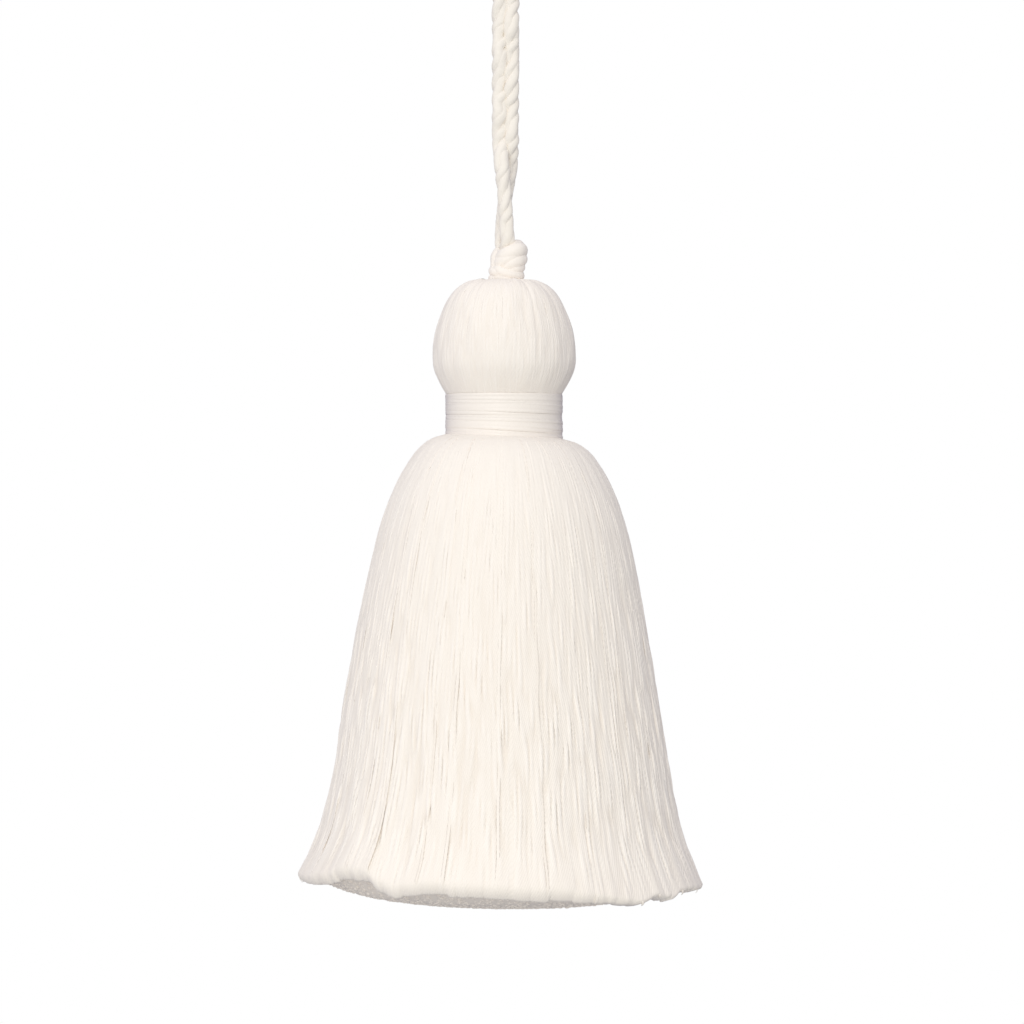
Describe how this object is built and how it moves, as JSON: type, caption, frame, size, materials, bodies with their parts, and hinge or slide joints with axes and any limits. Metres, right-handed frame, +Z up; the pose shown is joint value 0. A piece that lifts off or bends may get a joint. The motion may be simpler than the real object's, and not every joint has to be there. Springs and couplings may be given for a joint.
{
  "type": "key tassel",
  "caption": "Cream cotton key tassel: twisted cord loop tied in a knot over a round yarn head, with a thread-bound neck and a full, flaring skirt of cut yarn.",
  "frame": {"origin": "the point inside the top of the cord loop that the tassel hangs from", "axes": "+Z up along the tassel's axis, so that the tassel hangs towards -Z; the cord loop lies in the XZ plane; the picture's camera looks along +Y with +X to the right"},
  "size_m": [0.0635, 0.0636, 0.1712],
  "materials": {
    "cotton_cord": "soft matt cotton cord, three plies laid with a visible twist",
    "cotton_yarn": "fine plied cotton yarn, matt with a faint sheen along each yarn",
    "binding_thread": "cotton thread wound tightly, matt"
  },
  "bodies": {
    "root": {"hanging_cord": "cotton_cord", "loop_knot": "cotton_cord", "yarn_bundle": "cotton_yarn", "neck_binding": "binding_thread"}
  },
  "joints": []
}
